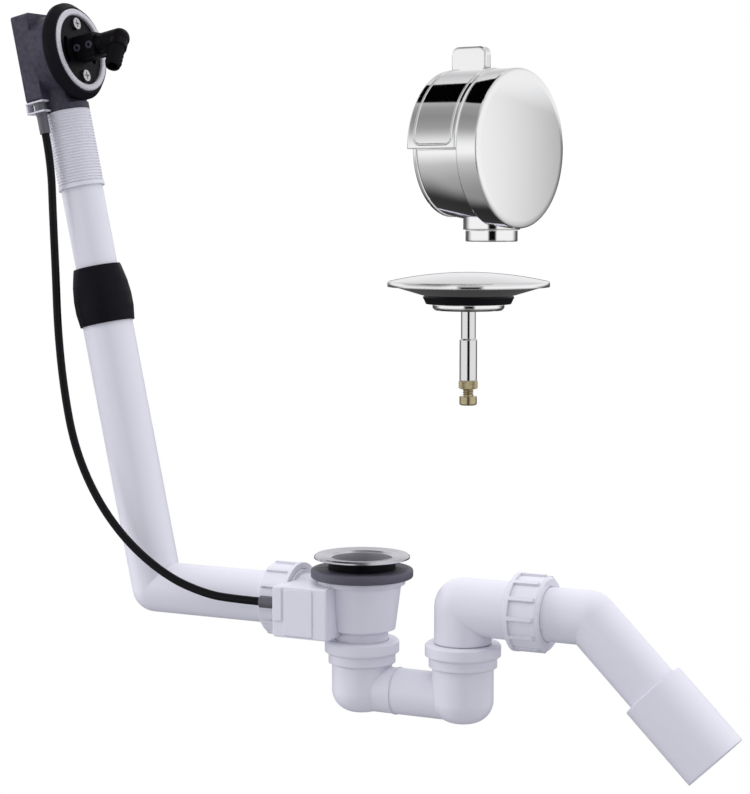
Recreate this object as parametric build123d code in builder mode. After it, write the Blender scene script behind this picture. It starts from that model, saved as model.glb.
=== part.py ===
from build123d import *
from math import cos, radians, sin
import os

os.makedirs("parts", exist_ok=True)

# Cable-operated bath waste and overflow, all sizes in millimetres.
# The waste axis is Z, the bath floor is at Z = 0, and the overflow and the outlet lie in the XZ plane.

# Clearances
push_gap = 0.3         # radial play of a pipe pushed into its socket
thread_gap = 0.3       # radial play between a nut and its thread, whose pitch is not cut
run_gap = 0.05         # radial play of a shaft in its bearing
press_gap = 0.1        # radial play of a piece pressed or glued on another
side_gap = 0.4         # end play beside a moving piece

# Pipe sizes
pipe_radius = 20.0     # waste pipe, 40 mm outside
pipe_wall = 2.0
thread_radius = 24.0   # union thread, crest
nut_radius = 27.4      # union nut between its ribs
nut_rib = 1.6
nut_length = 25.0
nut_lip = 3.0
nut_ribs = 12
nut_rib_width = 3.2
nut_rim = 3.0
seal_thick = 3.2

# Waste flange and its tail
rim_radius = 36.5
rim_top = 2.4
rim_edge = 1.2
mouth_radius = 23.25
liner_radius = 24.2
liner_depth = 9.0
tail_radius = 25.5
tail_depth = 24.0
tail_recess = 0.5
guide_height = 5.0
guide_radius = 7.0
guide_arm = 3.0
clamp_gap = 8.0        # room left for the bath floor

# Waste gasket
gasket_radius = 39.0
gasket_thick = 7.5
gasket_edge = 1.6
gasket_slope = 9.0

# Waste body
shelf_radius = 33.0
shelf_thick = 4.0
cone_top_radius = 30.0
cone_bottom_radius = 25.5
cone_bottom = -54.0
body_wall = 2.6
spigot_radius = 20.0
spigot_wall = 2.2
spigot_end = -80.0
inlet_level = -37.0    # axis of the overflow inlet
inlet_nut_left = -77.0
inlet_bore = 17.5
inlet_neck_radius = 21.0

# Trap
socket_top = -62.5     # top of the inlet socket
socket_ring = 28.4
socket_ring_height = 10.5
socket_step = 25.6
socket_step_height = 8.0
cup_radius = 23.0
cup_round = 17.0
trap_wall = 2.5
trap_bottom = -118.0
trap_pipe_radius = 17.5
trap_lift = 0.6        # the pipe's underside above that of the cups
outlet_socket_top = -58.0
trap_spread = 84.0     # distance between the two trap legs
seam_place = 0.36      # share of the spread at which the weld bead lies
seam_height = 0.5
seam_width = 1.4
ring_groove = 3.0      # depth of the socket groove that holds its seal
ring_tall = 5.0

# Outlet
outlet_level = -30.5
outlet_elbow_radius = 21.5
outlet_elbow_wall = 3.0
outlet_spigot_end = -76.0
outlet_nut_left = 128.0
outlet_corner = 184.0
outlet_angle = 45.0
sleeve_start = 68.0    # along the slanted leg from its corner
sleeve_length = 67.0
sleeve_radius = 25.0
sleeve_rim = 1.4
sleeve_rim_length = 7.0
sleeve_stop = 14.0     # length of the sleeve beyond the pipe's end

# Overflow pipe
lean = 12.0            # the overflow leans back by this many degrees
corner_x = -182.5
lower_pipe_top = 236.0  # along the leaning pipe from its corner
boot_bottom = 214.0
boot_top = 260.0
boot_bottom_radius = 21.8
boot_waist_radius = 23.2
boot_top_radius = 18.8
upper_pipe_radius = 16.6
upper_pipe_wall = 1.8
upper_pipe_bottom = 205.0
rib_tube_bottom = 324.0
rib_tube_radius = 17.2
rib_height = 0.9
rib_count = 12
rib_tube_rim = 1.2
rib_tube_rim_length = 3.5
rib_spigot_radius = 15.6
rib_spigot_length = 4.0

# Overflow head, depths measured back from the front of the clamp ring
head_height = 431.0    # along the leaning pipe from its corner
head_reach = 24.5      # from the pipe's axis to the front of the clamp ring
clamp_radius = 33.0
clamp_bore = 28.0
clamp_thick = 3.0
plate_recess = 2.0
plate_thick = 4.0
window_width = 5.0
window_angle = 50.0
screw_place = 21.0
screw_radius = 2.0
screw_head_radius = 4.7
screw_head_height = 2.2
screw_length = 12.0
seal_radius = 39.0
seal_back = 13.0
seal_edge = 3.0
seal_front = 34.6
seal_rear = 35.0
collar_wall = 3.3
drum_case_radius = 33.0
box_front = 28.0
box_back = 43.5
box_half_width = 26.5
box_half_height = 35.0
box_wall = 2.0
box_round = 3.0
head_socket_radius = 18.0
head_socket_end = -45.0
passage_half_width = 13.0

# Control spindle, nozzle elbow and cable drum
nozzle_radius = 8.2
nozzle_bore = 5.5
nozzle_reach = 36.0
nozzle_turn = 37.0     # swing of the nozzle's end from straight down, towards the viewer
nozzle_leg = 29.0
barb_radius = 6.7
barb_root = 5.7
barb_count = 5
barb_pitch = 3.8
spindle_radius = 5.2
drum_radius = 12.5
drum_groove = 1.6
drum_width = 6.0

# Cable and its ferrules
cable_radius = 3.2
ferrule_radius = 4.6
ferrule_length = 26.0
ferrule_spigot = 3.0
cable_place = 22.3     # distance of the cable from the head's middle plane
cable_depth = 34.0
clip_thick = 1.3
clip_height = 8.0
low_ferrule_radius = 4.6
low_ferrule_length = 13.0
low_cable_level = -33.4
low_cable_front = -36.0

# Lever housing and lift lever
block_left = -51.0
block_lip = -55.0       # left edge of the housing where it reaches past the nut
block_lip_back = -31.0
block_right = -9.0
block_front = -39.6
block_top = -19.0
block_bottom = -58.0
block_wall = 2.5
block_floor = -26.5    # back of the lever chamber
block_round = 3.0
lid_thick = 2.6
shaft_radius = 3.0
shaft_x = -18.0
shaft_z = -46.5
hub_radius = 4.6
pull_arm = 13.5
pull_arm_thick = 4.0
lift_arm = 19.0
lift_arm_thick = 6.0
arm_width = 5.0
arm_dip = 10.0
nipple_radius = 2.4

# Overflow cover, taken off and hung in front of the rest
cover_x = 304.0
cover_y = -433.0
cover_z = 296.2
cover_turn = 11.0
cover_radius = 40.0
cover_band = 12.0
cover_depth = 42.0
cover_wall = 2.0
cover_face_dome = 1.2
ring_wall = 2.4
ring_groove_gap = 0.8
fin_length = 21.0
fin_height = 11.5
fin_thick = 5.5
spout_radius = 14.4
aerator_across = 26.4
aerator_height = 7.7
aerator_back = 17.6
aerator_bore = 9.6
aerator_thread = 1.6
aerator_grip = 5.0

# Plug, taken out and hung below the cover
plug_x = 283.0
plug_y = -450.0
plug_z = 230.2
plug_radius = 40.6
plug_rim = 2.8
plug_dome = 1.6
plug_taper = 4.2
plug_seal_radius = mouth_radius - push_gap
plug_seal_thick = 4.4
retainer_radius = 18.0
retainer_thick = 3.2
stem_upper_radius = 3.7
stem_upper_length = 14.3
stem_lower_radius = 4.4
stem_lower_length = 21.0
lock_nut_radius = 4.5
lock_nut_height = 4.2
plug_screw_radius = 2.3
plug_screw_gap = 3.8
plug_screw_head = 4.4
plug_screw_head_height = 4.4
screw_slot = 1.3

# Directions and frames
lean_up = Vector(-sin(radians(lean)), 0, cos(radians(lean)))
lean_out = Vector(cos(radians(lean)), 0, sin(radians(lean)))
corner = Vector(corner_x, 0, inlet_level)
pipe_plane = Plane(origin=corner, x_dir=(0, 1, 0), z_dir=lean_out)
pipe_axis = Axis(corner, lean_up)
head_point = corner + lean_up * head_height + lean_out * head_reach
head_plane = Plane(origin=head_point, x_dir=(0, 1, 0), z_dir=lean_up * -1)
head_axis = Axis(head_point, lean_out)
inlet_plane = Plane(origin=(0, 0, inlet_level), x_dir=(1, 0, 0), z_dir=(0, -1, 0))
inlet_axis = Axis((0, 0, inlet_level), (1, 0, 0))
outlet_plane = Plane(origin=(0, 0, outlet_level), x_dir=(1, 0, 0), z_dir=(0, -1, 0))
outlet_axis = Axis((0, 0, outlet_level), (1, 0, 0))
slant = Vector(cos(radians(outlet_angle)), 0, -sin(radians(outlet_angle)))
slant_point = Vector(outlet_corner, 0, outlet_level)
slant_plane = Plane(origin=slant_point, x_dir=slant, z_dir=(0, -1, 0))
slant_axis = Axis(slant_point, slant)
leg_plane = Plane(origin=(trap_spread, 0, 0), x_dir=(1, 0, 0), z_dir=(0, -1, 0))
leg_axis = Axis((trap_spread, 0, 0), (0, 0, 1))


def head_at(side, height, depth):
    # a point by its place along Y, up the leaning head and out of its front
    return head_point + Vector(0, side, 0) + lean_up * height + lean_out * depth


def profile(plane, *points):
    with BuildSketch(plane) as flat:
        with BuildLine():
            Polyline(*points, close=True)
        make_face()
    return flat.sketch


def rod(start, direction, length, radius):
    return Solid.make_cylinder(radius, length, Plane(origin=start, z_dir=direction))


def box_between(low, high, plane=Plane.XY):
    size = [b - a for a, b in zip(low, high)]
    middle = [(a + b) / 2 for a, b in zip(low, high)]
    return plane * Pos(*middle) * Solid.make_box(*size, Plane(origin=[-v / 2 for v in size]))


def finish(builder, name):
    builder.part.label = name
    export_step(builder.part, f"parts/{name}.step")


# The waste flange: a shallow chrome dish whose liner goes into the tail.
with BuildPart() as waste_flange:
    revolve(profile(
        Plane.XZ,
        (mouth_radius, -liner_depth),
        (liner_radius, -liner_depth),
        (liner_radius, tail_recess),
        (tail_radius + push_gap, tail_recess),
        (tail_radius + push_gap, 0),
        (rim_radius, 0),
        (rim_radius, rim_edge),
        (rim_radius - rim_edge, rim_top),
        (rim_radius - 2.5 * rim_edge, rim_top),
        (liner_radius + 0.7, tail_recess + 0.9),
        (mouth_radius, 0),
    ), axis=Axis.Z)
finish(waste_flange, "waste_flange")

# The threaded tail under it, with the cross that guides the plug's stem.
tail_bore = liner_radius + press_gap
tail_end = -tail_depth
with BuildPart() as flange_tail:
    revolve(profile(
        Plane.XZ,
        (tail_bore, tail_end),
        (tail_radius, tail_end),
        (tail_radius, tail_recess),
        (tail_bore, tail_recess),
    ), axis=Axis.Z)
    with Locations((0, 0, tail_end)):
        with Locations((0, 0, guide_height / 2)):
            Cylinder(guide_radius, guide_height)
            with PolarLocations(0, 4, start_angle=45):
                Box(tail_radius - 0.5, guide_arm, guide_height, align=(Align.MIN, Align.CENTER, Align.CENTER))
            Cylinder(stem_lower_radius + push_gap, guide_height, mode=Mode.SUBTRACT)
finish(flange_tail, "flange_tail")

# The soft gasket that lies under the bath floor.
gasket_top = -clamp_gap
gasket_low = gasket_top - gasket_thick
with BuildPart() as waste_gasket:
    revolve(profile(
        Plane.XZ,
        (tail_radius + push_gap, gasket_low),
        (shelf_radius, gasket_low),
        (gasket_radius, gasket_low + gasket_thick * 0.4),
        (gasket_radius, gasket_low + gasket_thick * 0.4 + gasket_edge),
        (gasket_radius - gasket_slope, gasket_top),
        (tail_radius + push_gap, gasket_top),
    ), axis=Axis.Z)
finish(waste_gasket, "waste_gasket")

# The waste body: cup, overflow inlet and lever housing in one moulding.
shelf_low = gasket_low - shelf_thick
body_bore = tail_radius + thread_gap
spigot_bore = spigot_radius - spigot_wall
cup_inner = cone_bottom_radius - body_wall
inlet_nut_right = inlet_nut_left + nut_length
inlet_thread_end = inlet_nut_left + nut_lip + seal_thick
inlet_pipe_end = inlet_nut_right - nut_lip
inlet_neck = inlet_nut_right + 1.5
pipe_socket = pipe_radius + push_gap
cup_top = tail_end - 2.0
with BuildPart() as waste_body:
    revolve(profile(
        Plane.XZ,
        (0, gasket_low),
        (shelf_radius, gasket_low),
        (shelf_radius, shelf_low),
        (cone_top_radius, shelf_low),
        (cone_bottom_radius, cone_bottom),
        (spigot_radius, cone_bottom - 2.0),
        (spigot_radius, spigot_end),
        (0, spigot_end),
    ), axis=Axis.Z)
    add(rod((inlet_thread_end, 0, inlet_level), (1, 0, 0), inlet_neck - inlet_thread_end, thread_radius))
    add(rod((inlet_neck, 0, inlet_level), (1, 0, 0), -inlet_neck, inlet_neck_radius))
    add(box_between((block_left, block_front, block_bottom), (block_right, -4.0, block_top)))
    add(box_between((block_lip, block_front, block_bottom), (block_right, block_lip_back, block_top)))
    block_edges = waste_body.edges().filter_by(Axis.Y).filter_by_position(Axis.Y, block_front, -4.0)
    fillet(block_edges.sort_by(Axis.X)[:2], block_round)
    revolve(profile(
        Plane.XZ,
        (0, gasket_low),
        (body_bore, gasket_low),
        (body_bore, cup_top),
        (cone_top_radius - body_wall - 1.0, cup_top - 2.0),
        (cup_inner, cone_bottom + 2.0),
        (spigot_bore, cone_bottom - 2.0),
        (spigot_bore, spigot_end),
        (0, spigot_end),
    ), axis=Axis.Z, mode=Mode.SUBTRACT)
    add(rod((inlet_thread_end, 0, inlet_level), (1, 0, 0), -inlet_thread_end, inlet_bore), mode=Mode.SUBTRACT)
    add(rod(
        (inlet_thread_end, 0, inlet_level), (1, 0, 0), inlet_pipe_end - inlet_thread_end, pipe_socket,
    ), mode=Mode.SUBTRACT)
    add(box_between(
        (block_lip + block_wall, block_front, block_bottom + block_wall),
        (block_right - block_wall, block_lip_back - block_wall, block_top - block_wall),
    ), mode=Mode.SUBTRACT)
    add(box_between(
        (block_left + block_wall, block_front, block_bottom + block_wall),
        (block_right - block_wall, block_floor, block_top - block_wall),
    ), mode=Mode.SUBTRACT)
    add(rod((shaft_x, block_front, shaft_z), (0, 1, 0), -block_front, shaft_radius + run_gap), mode=Mode.SUBTRACT)
    add(rod(
        (block_lip, low_cable_front, low_cable_level), (1, 0, 0), block_wall, ferrule_spigot + press_gap,
    ), mode=Mode.SUBTRACT)
finish(waste_body, "waste_body")

# The lid that closes the lever housing.
lid_front = block_front - lid_thick
with BuildPart() as housing_lid:
    add(box_between((block_lip, lid_front, block_bottom), (block_right, block_front, block_top)))
    fillet(housing_lid.edges().filter_by(Axis.Y).sort_by(Axis.X)[:2], block_round)
    fillet(housing_lid.faces().sort_by(Axis.Y)[0].edges(), lid_thick * 0.4)
finish(housing_lid, "housing_lid")

# The lift lever: a shaft through the wall with one arm in the housing and one under the plug.
pull_front = block_front + side_gap
pull_back = pull_front + pull_arm_thick
lift_half = lift_arm_thick / 2
pull_tip = Vector(shaft_x + pull_arm * sin(radians(5.0)), 0, shaft_z + pull_arm * cos(radians(5.0)))
lift_tip = Vector(
    shaft_x + lift_arm * cos(radians(arm_dip)), 0, shaft_z - lift_arm * sin(radians(arm_dip)),
)
with BuildPart() as lever_shaft:
    add(rod((shaft_x, pull_front, shaft_z), (0, 1, 0), lift_half + 1.0 - pull_front, shaft_radius))
finish(lever_shaft, "lever_shaft")


def arm_shape(front, back, tip):
    with BuildSketch(Plane(origin=(0, front, 0), x_dir=(1, 0, 0), z_dir=(0, -1, 0))) as flat:
        with Locations((shaft_x, shaft_z)):
            Circle(hub_radius)
        with BuildLine():
            way = Vector(tip.X - shaft_x, tip.Z - shaft_z).normalized()
            side = Vector(-way.Y, way.X) * (arm_width / 2)
            root = Vector(shaft_x, shaft_z)
            end = Vector(tip.X, tip.Z)
            Polyline(root + side, end + side, end - side, root - side, close=True)
        make_face()
        with Locations((tip.X, tip.Z)):
            Circle(arm_width / 2)
        with Locations((shaft_x, shaft_z)):
            Circle(shaft_radius + press_gap, mode=Mode.SUBTRACT)
    return flat.sketch


with BuildPart() as pull_lever:
    extrude(arm_shape(pull_front, pull_back, pull_tip), amount=-pull_arm_thick)
    add(rod((pull_tip.X, pull_front, pull_tip.Z), (0, 1, 0), pull_arm_thick, nipple_radius - 0.6), mode=Mode.SUBTRACT)
finish(pull_lever, "pull_lever")

with BuildPart() as wire_nipple:
    add(rod(
        (pull_tip.X, pull_front, pull_tip.Z), (0, 1, 0), pull_arm_thick + 1.0, nipple_radius - 0.6 - press_gap,
    ))
    add(rod((pull_tip.X, pull_back + press_gap, pull_tip.Z), (0, 1, 0), 3.0, nipple_radius))
finish(wire_nipple, "wire_nipple")

with BuildPart() as lift_lever:
    extrude(arm_shape(-lift_half, lift_half, lift_tip), amount=-lift_arm_thick)
finish(lift_lever, "lift_lever")

# The trap: two sockets, two cups and the pipe between them, welded into one piece.
cup_bore = cup_radius - trap_wall
spigot_socket = spigot_radius + push_gap
stop_left = spigot_end - 0.5
stop_right = outlet_spigot_end - 0.5


def trap_leg(plane, axis, top):
    ring_low = top - socket_ring_height
    step_low = ring_low - socket_step_height
    outer = profile(
        plane,
        (0, top),
        (socket_ring - 1.5, top),
        (socket_ring, top - 1.5),
        (socket_ring, ring_low + 1.5),
        (socket_step, ring_low),
        (socket_step, step_low + 1.0),
        (cup_radius, step_low),
        (cup_radius, trap_bottom),
        (0, trap_bottom),
    )
    return outer


def trap_bore(plane, top, stop):
    groove_top = top - (socket_ring_height - ring_tall) / 2
    return profile(
        plane,
        (0, top),
        (spigot_socket, top),
        (spigot_socket, groove_top),
        (spigot_socket + ring_groove, groove_top),
        (spigot_socket + ring_groove, groove_top - ring_tall),
        (spigot_socket, groove_top - ring_tall),
        (spigot_socket, stop),
        (spigot_bore, stop),
        (spigot_bore, stop - 3.0),
        (cup_bore, stop - 5.5),
        (cup_bore, trap_bottom + trap_wall + cup_round * 0.5),
        (cup_bore - cup_round * 0.5, trap_bottom + trap_wall),
        (0, trap_bottom + trap_wall),
    )


trap_level = trap_bottom + trap_pipe_radius + trap_lift
with BuildPart() as trap:
    revolve(trap_leg(Plane.XZ, Axis.Z, socket_top), axis=Axis.Z)
    revolve(trap_leg(leg_plane, leg_axis, outlet_socket_top), axis=leg_axis)
    low_edges = trap.edges().filter_by(GeomType.CIRCLE).group_by(Axis.Z)[0]
    fillet(low_edges, cup_round)
    add(rod((0, 0, trap_level), (1, 0, 0), trap_spread, trap_pipe_radius))
    add(rod(
        (trap_spread * seam_place - seam_width / 2, 0, trap_level), (1, 0, 0), seam_width,
        trap_pipe_radius + seam_height,
    ))
    revolve(trap_bore(Plane.XZ, socket_top, stop_left), axis=Axis.Z, mode=Mode.SUBTRACT)
    revolve(trap_bore(leg_plane, outlet_socket_top, stop_right), axis=leg_axis, mode=Mode.SUBTRACT)
    add(rod((0, 0, trap_level), (1, 0, 0), trap_spread, trap_pipe_radius - trap_wall), mode=Mode.SUBTRACT)
finish(trap, "trap")


def socket_seal(plane, top):
    groove_top = top - (socket_ring_height - ring_tall) / 2 - press_gap
    groove_low = groove_top - ring_tall + 2 * press_gap
    return profile(
        plane,
        (spigot_radius + press_gap, groove_low),
        (spigot_socket + ring_groove - press_gap, groove_low),
        (spigot_socket + ring_groove - press_gap, groove_top),
        (spigot_radius + press_gap, groove_top),
    )


with BuildPart() as trap_inlet_seal:
    revolve(socket_seal(Plane.XZ, socket_top), axis=Axis.Z)
finish(trap_inlet_seal, "trap_inlet_seal")

with BuildPart() as trap_outlet_seal:
    revolve(socket_seal(leg_plane, outlet_socket_top), axis=leg_axis)
finish(trap_outlet_seal, "trap_outlet_seal")

# The elbow that stands in the trap's second socket.
outlet_nut_right = outlet_nut_left + nut_length
outlet_thread_end = outlet_nut_right - nut_lip - seal_thick
outlet_pipe_start = outlet_nut_left + nut_lip
elbow_bore = outlet_elbow_radius - outlet_elbow_wall
elbow_foot = outlet_socket_top + side_gap
elbow_heart = Vector(trap_spread, 0, outlet_level)
with BuildPart() as outlet_elbow:
    add(rod((trap_spread, 0, elbow_foot), (0, 0, 1), outlet_level - elbow_foot, outlet_elbow_radius))
    with Locations(elbow_heart):
        Sphere(outlet_elbow_radius)
    add(rod(elbow_heart, (1, 0, 0), outlet_thread_end - trap_spread, outlet_elbow_radius))
    thread_start = outlet_nut_left - 4.0
    add(rod((thread_start, 0, outlet_level), (1, 0, 0), outlet_thread_end - thread_start, thread_radius))
    add(rod((trap_spread, 0, outlet_spigot_end), (0, 0, 1), outlet_level - outlet_spigot_end, spigot_radius))
    add(rod(
        (trap_spread, 0, outlet_spigot_end), (0, 0, 1), outlet_level - outlet_spigot_end, spigot_bore,
    ), mode=Mode.SUBTRACT)
    with Locations(elbow_heart):
        Sphere(elbow_bore - 0.6, mode=Mode.SUBTRACT)
    add(rod(elbow_heart, (1, 0, 0), outlet_thread_end - trap_spread, elbow_bore - 0.5), mode=Mode.SUBTRACT)
    add(rod(
        (outlet_pipe_start, 0, outlet_level), (1, 0, 0), outlet_thread_end - outlet_pipe_start, pipe_socket,
    ), mode=Mode.SUBTRACT)
finish(outlet_elbow, "outlet_elbow")


# The two union nuts and their cone seals.
def nut_profile(plane, lip_end, open_end):
    way = 1 if open_end > lip_end else -1
    return profile(
        plane,
        (lip_end, pipe_socket),
        (lip_end, nut_radius - 1.5),
        (lip_end + 1.5 * way, nut_radius),
        (open_end - nut_rim * way, nut_radius),
        (open_end - nut_rim * way, nut_radius + nut_rib),
        (open_end, nut_radius + nut_rib),
        (open_end, thread_radius + thread_gap),
        (lip_end + nut_lip * way, thread_radius + thread_gap),
        (lip_end + nut_lip * way, pipe_socket),
    )


def nut_rib_box(level, lip_end, open_end):
    low = min(lip_end, open_end)
    high = max(lip_end, open_end)
    inset_low = nut_rim if low == lip_end else 0.5
    inset_high = nut_rim if high == lip_end else 0.5
    return box_between(
        (low + inset_low, -nut_rib_width / 2, level + nut_radius - 1.0),
        (high - inset_high, nut_rib_width / 2, level + nut_radius + nut_rib),
    )


with BuildPart() as overflow_nut:
    revolve(nut_profile(inlet_plane, inlet_nut_left, inlet_nut_right), axis=inlet_axis)
    for step in range(nut_ribs):
        add(nut_rib_box(inlet_level, inlet_nut_left, inlet_nut_right).rotate(inlet_axis, step * 360 / nut_ribs))
finish(overflow_nut, "overflow_nut")

with BuildPart() as outlet_nut:
    revolve(nut_profile(outlet_plane, outlet_nut_right, outlet_nut_left), axis=outlet_axis)
    for step in range(nut_ribs):
        add(nut_rib_box(outlet_level, outlet_nut_right, outlet_nut_left).rotate(outlet_axis, step * 360 / nut_ribs))
finish(outlet_nut, "outlet_nut")

with BuildPart() as overflow_nut_seal:
    revolve(profile(
        inlet_plane,
        (inlet_nut_left + nut_lip, pipe_radius + press_gap),
        (inlet_nut_left + nut_lip, thread_radius),
        (inlet_thread_end, thread_radius),
        (inlet_thread_end, pipe_radius + press_gap),
    ), axis=inlet_axis)
finish(overflow_nut_seal, "overflow_nut_seal")

with BuildPart() as outlet_nut_seal:
    revolve(profile(
        outlet_plane,
        (outlet_nut_right - nut_lip, pipe_radius + press_gap),
        (outlet_nut_right - nut_lip, thread_radius),
        (outlet_thread_end, thread_radius),
        (outlet_thread_end, pipe_radius + press_gap),
    ), axis=outlet_axis)
finish(outlet_nut_seal, "outlet_nut_seal")

# The outlet bend and the wider sleeve on its end.
pipe_bore = pipe_radius - pipe_wall
slant_end = sleeve_start + sleeve_length - sleeve_stop
bend_start = outlet_pipe_start + side_gap
with BuildPart() as outlet_bend:
    add(rod((bend_start, 0, outlet_level), (1, 0, 0), outlet_corner - bend_start, pipe_radius))
    with Locations(slant_point):
        Sphere(pipe_radius)
    add(rod(slant_point, slant, slant_end, pipe_radius))
    add(rod((bend_start, 0, outlet_level), (1, 0, 0), outlet_corner - bend_start, pipe_bore), mode=Mode.SUBTRACT)
    with Locations(slant_point):
        Sphere(pipe_bore, mode=Mode.SUBTRACT)
    add(rod(slant_point, slant, slant_end, pipe_bore), mode=Mode.SUBTRACT)
finish(outlet_bend, "outlet_bend")

sleeve_end = sleeve_start + sleeve_length
with BuildPart() as outlet_sleeve:
    revolve(profile(
        slant_plane,
        (sleeve_start, pipe_radius + press_gap),
        (sleeve_start, sleeve_radius),
        (sleeve_start + 1.0, sleeve_radius + sleeve_rim),
        (sleeve_start + sleeve_rim_length, sleeve_radius + sleeve_rim),
        (sleeve_start + sleeve_rim_length, sleeve_radius),
        (sleeve_end, sleeve_radius),
        (sleeve_end, pipe_radius + 1.5),
        (slant_end + side_gap + 3.0, pipe_bore + 1.0),
        (slant_end + side_gap, pipe_bore + 1.0),
        (slant_end + side_gap, pipe_radius + press_gap),
    ), axis=slant_axis)
finish(outlet_sleeve, "outlet_sleeve")

# The overflow pipe: the lower pipe with its elbow, the sliding upper pipe and the rubber boot between.
with BuildPart() as overflow_elbow:
    add(rod(corner, lean_up, lower_pipe_top, pipe_radius))
    with Locations(corner):
        Sphere(pipe_radius)
    add(rod(corner, (1, 0, 0), inlet_pipe_end - side_gap - corner_x, pipe_radius))
    add(rod(corner, lean_up, lower_pipe_top, pipe_bore), mode=Mode.SUBTRACT)
    with Locations(corner):
        Sphere(pipe_bore, mode=Mode.SUBTRACT)
    add(rod(corner, (1, 0, 0), inlet_pipe_end - side_gap - corner_x, pipe_bore), mode=Mode.SUBTRACT)
finish(overflow_elbow, "overflow_elbow")

upper_pipe_top = head_height + head_socket_end - 2.0
with BuildPart() as overflow_upper_pipe:
    revolve(profile(
        pipe_plane,
        (upper_pipe_radius - upper_pipe_wall, upper_pipe_bottom),
        (upper_pipe_radius, upper_pipe_bottom),
        (upper_pipe_radius, upper_pipe_top - 4.0),
        (upper_pipe_radius - upper_pipe_wall, upper_pipe_top - 4.0),
    ), axis=pipe_axis)
finish(overflow_upper_pipe, "overflow_upper_pipe")

boot_length = boot_top - boot_bottom
with BuildPart() as rubber_boot:
    revolve(profile(
        pipe_plane,
        (pipe_radius + press_gap, boot_bottom),
        (boot_bottom_radius, boot_bottom),
        (boot_waist_radius, boot_bottom + boot_length * 0.24),
        (boot_waist_radius, boot_bottom + boot_length * 0.46),
        (boot_waist_radius - 1.2, boot_bottom + boot_length * 0.7),
        (boot_top_radius + 0.6, boot_top - 2.0),
        (boot_top_radius, boot_top),
        (upper_pipe_radius + press_gap, boot_top),
        (upper_pipe_radius + press_gap, lower_pipe_top + side_gap),
        (pipe_radius + press_gap, lower_pipe_top + side_gap),
    ), axis=pipe_axis)
finish(rubber_boot, "rubber_boot")

# The ribbed tube between the upper pipe and the head.
rib_tube_top = head_height + head_socket_end
rib_pitch = (rib_tube_top - rib_tube_bottom - rib_tube_rim_length) / rib_count
with BuildPart() as ribbed_tube:
    outline = [(upper_pipe_radius + press_gap, rib_tube_bottom)]
    outline.append((rib_tube_radius + rib_tube_rim, rib_tube_bottom))
    outline.append((rib_tube_radius + rib_tube_rim, rib_tube_bottom + rib_tube_rim_length))
    for rib in range(rib_count):
        low = rib_tube_bottom + rib_tube_rim_length + rib * rib_pitch
        outline.append((rib_tube_radius, low))
        outline.append((rib_tube_radius, low + rib_pitch * 0.35))
        outline.append((rib_tube_radius + rib_height, low + rib_pitch * 0.5))
        outline.append((rib_tube_radius + rib_height, low + rib_pitch * 0.85))
    outline.append((rib_tube_radius, rib_tube_top))
    outline.append((rib_spigot_radius, rib_tube_top))
    outline.append((rib_spigot_radius, rib_tube_top + rib_spigot_length))
    outline.append((upper_pipe_radius - upper_pipe_wall, rib_tube_top + rib_spigot_length))
    outline.append((upper_pipe_radius - upper_pipe_wall, upper_pipe_top - 3.6))
    outline.append((upper_pipe_radius + press_gap, upper_pipe_top - 3.6))
    revolve(profile(pipe_plane, *outline), axis=pipe_axis)
finish(ribbed_tube, "ribbed_tube")

# The overflow head: gasket collar, overflow chamber, cable box and pipe socket in one moulding.
head_box = Plane(origin=head_point, x_dir=(0, 1, 0), z_dir=lean_out)
seal_bore = clamp_bore + 0.6
collar_radius = seal_bore - press_gap
chamber_radius = collar_radius - collar_wall
plate_back = plate_recess + plate_thick
wall_back = box_front + box_wall + 1.0
cover_front = box_back - box_wall
socket_point = head_at(0, head_socket_end, -head_reach)
socket_trim = head_socket_end + 5.0
with BuildPart() as head_housing:
    add(box_between(
        (-box_half_width, -box_half_height, -cover_front), (box_half_width, box_half_height, -box_front), head_box,
    ))
    fillet(head_housing.edges().filter_by(head_axis), box_round)
    add(rod(head_at(0, 0, -box_front), lean_out, box_front - seal_back, drum_case_radius))
    add(rod(head_at(0, 0, -seal_back), lean_out, seal_back - plate_back, collar_radius))
    add(rod(socket_point, lean_up, socket_trim - head_socket_end, head_socket_radius))
    add(rod(
        head_at(0, socket_trim, -head_reach), lean_up, -socket_trim - chamber_radius + 5.0, head_socket_radius,
    ) & box_between((-60, -60, -cover_front), (60, 60, -seal_back - 0.5), head_box))
    add(rod(head_at(0, 0, -box_front), lean_out, box_front - plate_back, chamber_radius), mode=Mode.SUBTRACT)
    add(box_between(
        (-box_half_width + box_wall, -box_half_height + box_wall, -cover_front),
        (box_half_width - box_wall, box_half_height - box_wall, -wall_back), head_box,
    ), mode=Mode.SUBTRACT)
    add(rod(socket_point, lean_up, rib_spigot_length + 0.5, rib_spigot_radius + push_gap), mode=Mode.SUBTRACT)
    add(box_between(
        (-passage_half_width, head_socket_end + rib_spigot_length, -box_front),
        (passage_half_width, -chamber_radius + 6.0, -seal_back - 2.5), head_box,
    ), mode=Mode.SUBTRACT)
    for side in (-1, 1):
        post = rod(head_at(0, side * screw_place, -box_front), lean_out, box_front - plate_back, 2 * screw_radius)
        add(post)
        add(rod(
            head_at(0, side * screw_place, -plate_back - screw_length), lean_out, screw_length,
            screw_radius + press_gap,
        ), mode=Mode.SUBTRACT)
    add(rod(head_at(0, 0, -wall_back), lean_out, wall_back - box_front, spindle_radius + run_gap), mode=Mode.SUBTRACT)
    add(rod(
        head_at(-cable_place, -box_half_height, -cable_depth), lean_up, box_wall, ferrule_spigot + press_gap,
    ), mode=Mode.SUBTRACT)
finish(head_housing, "head_housing")

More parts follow.
